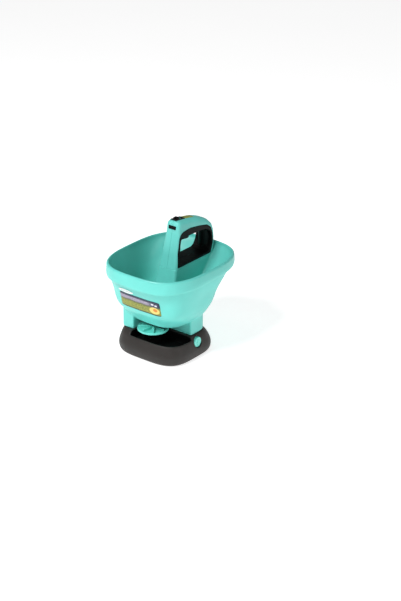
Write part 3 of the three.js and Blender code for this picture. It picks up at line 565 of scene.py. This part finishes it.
TURQUOISE = srgb(101, 206, 196)
MATERIALS = {
    "hopper_turquoise": moulded("hopper_turquoise", TURQUOISE, 0.4, coat=0.06),
    "handle_turquoise": moulded("handle_turquoise", srgb(105, 209, 200), 0.4, coat=0.06),
    "rotor_turquoise": moulded("rotor_turquoise", srgb(96, 204, 192), 0.4),
    "button_turquoise": moulded("button_turquoise", srgb(116, 222, 208), 0.34, coat=0.1),
    "grip_black": moulded(
        "grip_black", srgb(7, 10, 10), 0.5, grain=700.0, relief=0.0001, edge_highlight=0.02, shine=0.14
    ),
    "trim_black": moulded("trim_black", srgb(8, 9, 10), 0.42, edge_highlight=0.03, shine=0.2),
    "stand_charcoal": moulded(
        "stand_charcoal", srgb(46, 42, 40), 0.5, grain=650.0, relief=0.00012, edge_highlight=0.05, shine=0.3
    ),
    "well_black": moulded("well_black", srgb(5, 6, 6), 0.6, edge_highlight=0.03, shine=0.1),
    "nylon": moulded("nylon", srgb(226, 222, 208), 0.4),
    "rubber": moulded("rubber", srgb(20, 20, 20), 0.8, edge_highlight=0.03, shine=0.2),
    "cell_wrap": moulded("cell_wrap", srgb(52, 92, 160), 0.3),
    "wire_red": moulded("wire_red", srgb(168, 34, 30), 0.45),
    "badge_white": badge_print(),
    "label_print": picture_label(),
    "scale_yellow": scale_print(),
    "steel": metal("steel", srgb(196, 198, 202), 0.3),
    "brass": metal("brass", srgb(206, 172, 96), 0.3),
}


# ---- Hopper -----------------------------------------------------------------------
bowl_loft = OvalLoft(BOWL)
band_loft = OvalLoft(np.array([[z, RIM_HALF_X, RIM_FRONT, RIM_REAR, 3.0] for z in (0, 200, 400)]))


def rim_field(p):
    """The deep band round the mouth: a convex face whose lower edge climbs towards the rear."""
    y, z = p[1:]
    climb = RIM_REAR_RISE * (y - RIM_FRONT) / (RIM_REAR - RIM_FRONT) / (RIM_TOP - RIM_FOOT)
    level = RIM_TOP - (RIM_TOP - z) / (1 - climb)
    band = band_loft.field(p)
    face = band + np.interp(level, RIM_FACE[:, 0], RIM_FACE[:, 1])
    rim = smax(smax(face, z - RIM_TOP, 4), RIM_FOOT - level, 1.8)
    room = smax(face + RIM_WALL, level - (RIM_TOP - 5), 1.5)
    return cut(rim, room, 0.8)


def skirt_field(x, y):
    """Plan of the skirt: a broad block behind the throw bay and a pillar at the front left."""
    block = smax(
        smax(np.abs(x) - SKIRT_HALF_X, y - SKIRT_REAR, 40),
        BAY_WALL - y,
        3,
    )
    pillar = smax(smax(-SKIRT_HALF_X - x, SKIRT_FRONT - y, 14), smax(x - PILLAR_X, y, 1), 3)
    return smin(block, pillar, 2)


def face_y(z):
    return FACE_AT_175 + LEAN * (z - 175)


def tower_field(p):
    """The column that rises from the hopper's floor to carry the handle."""
    x, y, z = p
    half = np.interp(z, [FLOOR, 175, TOWER_TOP], TOWER_HALF)
    return smax((np.abs(x) - half), (face_y(z) - y) * math.cos(math.atan(LEAN)), 9)


def hopper_field(p):
    """The whole moulding: bowl, rim band, skirt and tower."""
    x, y, z = p
    bowl = bowl_loft.field(p)
    body = smin(smax(smax(bowl, z - RIM_TOP, 2), FLOOR - z, 6), rim_field(p), 1.5)
    plan = skirt_field(x, y)
    skirt = smax(smax(plan, SKIRT_BOTTOM - z, 1.2), z - 128, 6)
    body = smin(body, skirt, 5)
    under = smax(smax(plan + SKIRT_WALL, -bowl, 1), z - 128, 1)
    body = cut(body, under, 0.8)
    cavity = smax(bowl + BOWL_WALL, FLOOR + BOWL_WALL - z, 9)
    tower = smax(tower_field(p), z - TOWER_TOP, 0.3)
    body = cut(body, cut(cavity, tower, 5), 2.2)
    duct = smax(smax(tower_field(p) + HANDLE_WALL, bowl + BOWL_WALL, 1), FLOOR + 3 - z, 1)
    body = cut(body, duct, 0.8)
    outlets = box_field((np.abs(x) - OUTLET_X, y, z), *OUTLET, 1)
    body = cut(cut(body, box_field(p, *CRANK_OPENING)), outlets)
    return cut(body, box_field(p, *TONGUE_WINDOW))


# ---- Handle -------------------------------------------------------------------------
HANDLE_SIDE = [
    (face_y(195), 195), (110, 195), (117, HANDLE_FOOT), (125, 218), (131.4, 236), (132.5, 252), (131.6, 268),
    (127, 281), (114.5, 292.5), (98, 301), (77, 308.2), (54, 313), (30, 316.6), (9, 319.2), (3.2, 317.5),
    (0.6, 311), (face_y(292), 292),
]
FRAME_OUTER = [
    (-11.4, 208.3), (113, 208.3), (121.5, 225), (125, 240), (124.4, 256), (119.5, 271), (106, 281),
    (80, 287), (43, 292.5), (16, 290.5), (6, 285.5), (1.8, 277), (-7, 242),
]
HAND_HOLE = [
    (-4.6, 213.5), (103, 213.5), (111, 218), (117.5, 230), (120, 247), (116, 261.5), (104, 271), (80, 274.5),
    (42, 275.5), (12, 275.5), (6.5, 272.5), (3.4, 264), (-0.6, 243),
]
POST_Y = 121.0
POST_RADIUS = 14.0
POST_FOOT = 222.0
PIVOT_Y = 10.0
PIVOT_Z = 280.0


def handle_solid(p):
    """The handle's outer form: its side outline, narrowed to its tapered and crowned width."""
    x, y, z = p
    crown = 0.012 * x * x
    side = polygon_field(y, z + crown, HANDLE_SIDE, 2.5)
    half = GRIP_HALF_AT_200 - GRIP_TAPER * (z - 200)
    return smax(smax(side, np.abs(x) - half, 9), HANDLE_FOOT - z, 0.3)


def frame_side(p, points, r):
    return polygon_field(p[1], p[2], points, r)


def post_field(p, foot):
    x, y, z = p
    return smax(np.hypot(x, y - POST_Y) - POST_RADIUS, foot - z, 2)


def shell_field(side):
    def field(p):
        solid = handle_solid(p)
        frame_room = frame_side(p, FRAME_OUTER, 3) - GAP
        shell = cut(solid, solid + HANDLE_WALL, 0.8)
        shell = cut(shell, frame_room, 1.0)
        shell = cut(shell, box_field(p, *HANDLE_MOUTH, 0.5))
        shell = cut(shell, box_field(p, *SLIDER_SLOT, 0.5), 0.6)
        shell = cut(shell, box_field(p, *FRONT_SLOT, 1), 0.6)
        return smax(shell, SEAM - side * p[0], 0.5)
    return field


def grip_frame_field(side):
    def field(p):
        outer = frame_side(p, FRAME_OUTER, 3)
        hole = frame_side(p, HAND_HOLE, 3)
        solid = handle_solid(p)
        ring = smin(cut(outer, hole, 3.0), smax(post_field(p, POST_FOOT), outer, 1), 3)
        ring = smax(ring, solid - 0.35, 1.2)
        behind = smax(smax(-(hole - 2.2), -post_field(p, POST_FOOT - 8), 1), solid + 2.2, 1)
        ring = cut(ring, behind, 0.6)
        well = box_field(p, *TRIGGER_WELL, 0.8)
        return smax(cut(ring, well, 0.8), SEAM - side * p[0], 0.5)
    return field


# ---- Stand ----------------------------------------------------------------------------
stand_loft = OvalLoft(STAND_ROWS)


def stand_field(p):
    x, y, z = p
    block = stand_loft.field(p)
    outer = smax(smax(block, z - STAND_HIGH[2], 3), STAND_LOW[2] - z, 5)
    inner = smax(block + STAND_WALL, z - (STAND_HIGH[2] - DECK), 2)
    shell = cut(outer, inner, 1)
    mouth = box_field(p, (WELL_LEFT + WELL_WALL, -150, WELL_LIP), (150, WELL_REAR - WELL_WALL, 90), 2)
    shell = cut(shell, mouth, 1.8)
    around = np.hypot(y - BUTTON_Y, z - BUTTON_Z)
    shell = cut(shell, smax(around - (BUTTON_RADIUS + BUTTON_CLEARANCE), 60 - np.abs(x), 1), 1.6)
    slots = box_field((np.abs(x), y, z), *HOOK_SLOT)
    return cut(cut(shell, slots), box_field(p, *PLUG_HOLE))


def tray_field(p):
    """The black well under the disc."""
    x, y, z = p
    top = STAND_HIGH[2] - DECK - GAP
    block = box_field(p, (WELL_LEFT, -150, WELL_FLOOR), (150, WELL_REAR, top), 0.5)
    outline = smax(block, stand_loft.field(p) + STAND_WALL + GAP, 1)
    room = box_field(p, (WELL_LEFT + WELL_WALL, -170, WELL_FLOOR + 3), (170, WELL_REAR - WELL_WALL, 90), 2)
    tray = cut(outline, room, 1)
    boss = bar_field(x, y - DISC_Y, z, 7, WELL_FLOOR - 11, WELL_FLOOR + 1)
    u, v = x - TRAY_SCREW_X, y - TRAY_SCREW_Y
    screw_boss = bar_field(u, v, z, TRAY_SCREW_RADIUS, 6.2, WELL_FLOOR + 1)
    tray = smin(smin(tray, boss, 1), screw_boss, 1)
    bearing = bar_field(x, y - DISC_Y, z, BEARING_RADIUS, WELL_FLOOR - 8.5, 60)
    return cut(cut(tray, bearing, 0.5), bar_field(u, v, z, 1.5, 0, 21), 0.5)


# ---- Disc, buttons, trigger --------------------------------------------------------------
VANES = 8


def rotor_field(p):
    x, y, z = p
    v = y - DISC_Y
    r = np.hypot(x, v)
    disc = smax(r - DISC_RADIUS, np.abs(z - (DISC_Z + 1.2)) - 1.2, 0.8)
    rim = smax(np.abs(r - (DISC_RADIUS - 1.2)) - 1.2, np.abs(z - (DISC_Z + 2.4)) - 2.4, 1.2)
    flare = np.maximum(0, 4 - (z - DISC_Z - 2.4)) * 0.5
    hub = smax(r - (6.2 + flare), np.maximum(DISC_Z - 2 - z, z - ROTOR_HIGH[2]), 1)
    body = smin(smin(disc, rim, 1.2), hub, 1.5)
    sector = 2 * np.pi / VANES
    # Each vane trails slightly: its middle line turns with the radius.
    turn = np.arctan2(v, x) + 0.006 * (r - 20)
    local = (turn + sector / 2) % sector - sector / 2
    across = np.abs(r * np.sin(local)) - 0.95
    vane = smax(smax(across, r - (DISC_RADIUS - 3.0), 1), np.maximum(DISC_Z + 1 - z, z - ROTOR_HIGH[2]), 0.8)
    vane = smax(vane, 4.5 - r, 0.5)
    body = smin(body, vane, 1.4)
    return cut(body, r - 3.25, 0.5)


def button_field(side):
    def field(p):
        x, y, z = p
        out = side * x
        u, v = y - BUTTON_Y, z - BUTTON_Z
        r = np.hypot(u, v)
        face_x = BUTTON_HIGH[0] - 2.0
        drum = smax(r - BUTTON_RADIUS, np.maximum(81.4 - out, out - face_x), 1.8)
        dish = np.sqrt(r**2 + (out - face_x - 26) ** 2) - 27.2
        drum = cut(drum, dish, 1.0)
        ridge = (np.sqrt((u / 2.7) ** 2 + (v / 8.5) ** 2 + ((out - face_x + 0.6) / 2.6) ** 2) - 1) * 2.4
        drum = smin(drum, ridge, 1.0)
        collar = smax(r - BUTTON_COLLAR_RADIUS, np.abs(out - BUTTON_COLLAR_X) - 0.8, 0.5)
        stem = smax(r - 3.4, np.abs(out - 74) - 7.5, 0.5)
        upright = box_field((out, y, z), *BUTTON_UPRIGHT, 0.4)
        nose = box_field((out, y, z), *BUTTON_NOSE, 0.3)
        return smin(smin(smin(drum, collar, 0.5), stem, 0.8), smin(upright, nose, 0.3), 0.6)
    return field


TRIGGER_SIDE = [
    (0.6, 280.4), (5.5, 279), (6.0, 267.5), (9, 264.8), (18, 264.2), (28, 262.8), (44, 260.5), (53, 259.5),
    (56.2, 261.4), (56.6, 268), (54, 272.4), (37, 274), (35.3, 277), (34.4, 284.4), (10, 285), (0.6, 283.2),
]


def trigger_field(p):
    x, y, z = p
    side = polygon_field(y, z, TRIGGER_SIDE, 0.5)
    body = smax(side, np.abs(x) - TRIGGER_HALF_X, 2.4)
    return cut(body, np.hypot(y - PIVOT_Y, z - PIVOT_Z) - PIN_BORE_RADIUS, 0.5)


# ---- Pieces ---------------------------------------------------------------------------------
BODY_OF = {node: body for body, nodes in frame["record"]["behaviour"]["bodies"].items() for node in nodes}
SLOT_OF = {row["node"]: row["material_slot"] for row in frame["record"]["subparts"]}
DETAIL = 1.0


def skin(nodes, field, step):
    """The fine piece that stands for one or more CAD nodes, within their box."""
    boxes = [node_box(node) for node in nodes]
    low = np.min([b[0] for b in boxes], axis=0)
    high = np.max([b[1] for b in boxes], axis=0)
    slot_name = SLOT_OF[nodes[0]]
    shifted = lambda p: field((p[0], p[1] - DATUM_Y, p[2]))
    piece = surface_mesh(nodes[0] + "_skin", shifted, low, high, step * DETAIL, MATERIALS[slot_name])
    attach(piece, BODY_OF[nodes[0]])
    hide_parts(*nodes)


def film(node, place, rings=14, around=96):
    """A thin printed film: place(share, turn, lift) gives its points, from the middle to its edge."""
    turns = np.linspace(0, 2 * np.pi, around, endpoint=False)
    points = []
    for lift in (0.75, 0.15):
        points.append(place(np.zeros(1), np.zeros(1), lift))
        for share in np.linspace(1 / rings, 1, rings):
            points.append(place(np.full(around, share), turns, lift))
    points = np.concatenate(points)
    layer = 1 + rings * around
    faces = []
    for i in range(around):
        j = (i + 1) % around
        faces.append((0, 1 + i, 1 + j))
        faces.append((layer, layer + 1 + j, layer + 1 + i))
        for ring in range(rings - 1):
            a = 1 + ring * around
            b = a + around
            faces.append((a + i, b + i, b + j, a + j))
            faces.append((layer + a + j, layer + b + j, layer + b + i, layer + a + i))
        edge = 1 + (rings - 1) * around
        faces.append((edge + i, layer + edge + i, layer + edge + j, edge + j))
    mesh = bpy.data.meshes.new(node + "_film")
    mesh.from_pydata((points * MM).tolist(), [], faces)
    mesh.shade_smooth()
    slot_name = SLOT_OF[node]
    mesh.materials.append(MATERIALS[slot_name])
    piece = bpy.data.objects.new(node + "_film", mesh)
    bpy.context.scene.collection.objects.link(piece)
    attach(piece, BODY_OF[node])
    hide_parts(node)


def nearest_root(field_along, start, stop):
    """Where a field first turns negative between two depths, by halving."""
    low, high = np.copy(start), np.copy(stop)
    for _ in range(40):
        middle = (low + high) / 2
        outside = field_along(middle) > 0
        low = np.where(outside, middle, low)
        high = np.where(outside, high, middle)
    return (low + high) / 2


def on_bowl_front(middle_x, middle_z, half_x, half_z, power):
    """Places a film of squared-oval outline on the bowl's front wall."""
    def place(share, turn, lift):
        squared = lambda value: np.sign(value) * np.abs(value) ** (2 / power)
        x = middle_x + half_x * share * squared(np.cos(turn))
        z = middle_z + half_z * share * squared(np.sin(turn))
        towards_wall = lambda depth: bowl_loft.field((x, depth, z)) - lift
        y = nearest_root(towards_wall, np.full_like(x, -175.0), np.full_like(x, -40.0))
        return np.stack([x, y + DATUM_Y, z], axis=1)
    return place


def on_handle_top(middle_y, half_x, half_y, power):
    """Places a film on the handle's crowned top."""
    def place(share, turn, lift):
        squared = lambda value: np.sign(value) * np.abs(value) ** (2 / power)
        x = half_x * share * squared(np.cos(turn))
        y = middle_y + half_y * share * squared(np.sin(turn))
        towards_top = lambda height: handle_solid((x, y, height)) - lift
        z = nearest_root(towards_top, np.full_like(x, 335.0), np.full_like(x, 290.0))
        return np.stack([x, y + DATUM_Y, z], axis=1)
    return place


skin(["hopper", "hopper_rim", "hopper_skirt", "tower"], hopper_field, 1.3)
skin(["handle_shell_right"], shell_field(1), 0.9)
skin(["handle_shell_left"], shell_field(-1), 0.9)
skin(["grip_frame_right"], grip_frame_field(1), 0.8)
skin(["grip_frame_left"], grip_frame_field(-1), 0.8)
skin(["base_shell"], stand_field, 1.2)
skin(["well_tray"], tray_field, 1.0)
skin(["rotor"], rotor_field, 0.5)
skin(["latch_button_right"], button_field(1), 0.5)
skin(["latch_button_left"], button_field(-1), 0.5)
skin(["trigger"], trigger_field, 0.5)
label_middle = ((LABEL_LEFT + LABEL_RIGHT) / 2, (LABEL_LOW + LABEL_HIGH) / 2)
label_half = ((LABEL_RIGHT - LABEL_LEFT) / 2, (LABEL_HIGH - LABEL_LOW) / 2)
film("label_panel", on_bowl_front(*label_middle, *label_half, 16))
film("badge_oval", on_bowl_front(BADGE_X, BADGE_Z, BADGE_HALF_X, BADGE_HALF_Z, 2))
film("scale_label", on_handle_top(SCALE_Y, SCALE_HALF_X, SCALE_HALF_Y, 12))

for node, obj in frame["nodes"].items():
    for material_slot in obj.material_slots:
        material_slot.material = MATERIALS[SLOT_OF[node]]


# ---- Studio -----------------------------------------------------------------------------------
TARGET = np.array([0.0, -0.016 + DATUM_Y * MM, 0.150])
AZIMUTH = math.radians(39)
ELEVATION = math.radians(24.6)
DISTANCE = 4.0


def toward(azimuth, elevation):
    level = math.cos(elevation)
    return np.array([math.sin(azimuth) * level, -math.cos(azimuth) * level, math.sin(elevation)])


def aimed(obj, place, target):
    obj.location = Vector(place.tolist())
    obj.rotation_euler = Vector((target - place).tolist()).to_track_quat("-Z", "Y").to_euler()


def camera():
    data = bpy.data.cameras.new("camera")
    data.lens = 101.5
    data.sensor_width = 36
    data.shift_x = 0.054
    data.shift_y = -0.019
    data.clip_end = 50
    obj = bpy.data.objects.new("camera", data)
    bpy.context.scene.collection.objects.link(obj)
    aimed(obj, TARGET + DISTANCE * toward(AZIMUTH, ELEVATION), TARGET)
    bpy.context.scene.camera = obj


def area_light(name, azimuth, elevation, distance, size, power):
    data = bpy.data.lights.new(name, "AREA")
    data.shape = "DISK"
    data.size = size
    data.energy = power
    obj = bpy.data.objects.new(name, data)
    bpy.context.scene.collection.objects.link(obj)
    place = TARGET + distance * toward(math.radians(azimuth), math.radians(elevation))
    aimed(obj, place, TARGET)


def floor():
    half = 30.0
    mesh = bpy.data.meshes.new("floor")
    corners = [(-half, -half, 0), (half, -half, 0), (half, half, 0), (-half, half, 0)]
    mesh.from_pydata(corners, [], [(0, 1, 2, 3)])
    n = Nodes("floor_paper")
    tone = n.mix(n.noise(3.0), (0.86, 0.86, 0.86, 1), (0.9, 0.9, 0.9, 1))
    paper = n.set(
        Base_Color=tone,
        Roughness=0.9,
        Specular_IOR_Level=0.0,
        Emission_Color=(1, 1, 1, 1),
        Emission_Strength=0.72,
    )
    mesh.materials.append(paper)
    obj = bpy.data.objects.new("floor", mesh)
    bpy.context.scene.collection.objects.link(obj)
    obj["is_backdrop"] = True


def surroundings():
    world = bpy.data.worlds.new("studio")
    world.use_nodes = True
    background = world.node_tree.nodes["Background"]
    background.inputs["Color"].default_value = (1, 1, 1, 1)
    background.inputs["Strength"].default_value = 0.16
    bpy.context.scene.world = world
    bpy.context.scene.view_settings.view_transform = "Standard"


camera()
area_light("key", -8, 48, 2.6, 0.8, 54)
area_light("front", 30, 20, 2.8, 1.2, 5)
area_light("side", 90, 16, 2.8, 1.2, 12)
area_light("top", -60, 72, 2.6, 0.6, 2)
floor()
surroundings()

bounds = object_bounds()
sizes = {"cad": [list(map(float, corner)) for corner in CAD_BOUNDS], "visual": [list(map(float, corner)) for corner in bounds]}
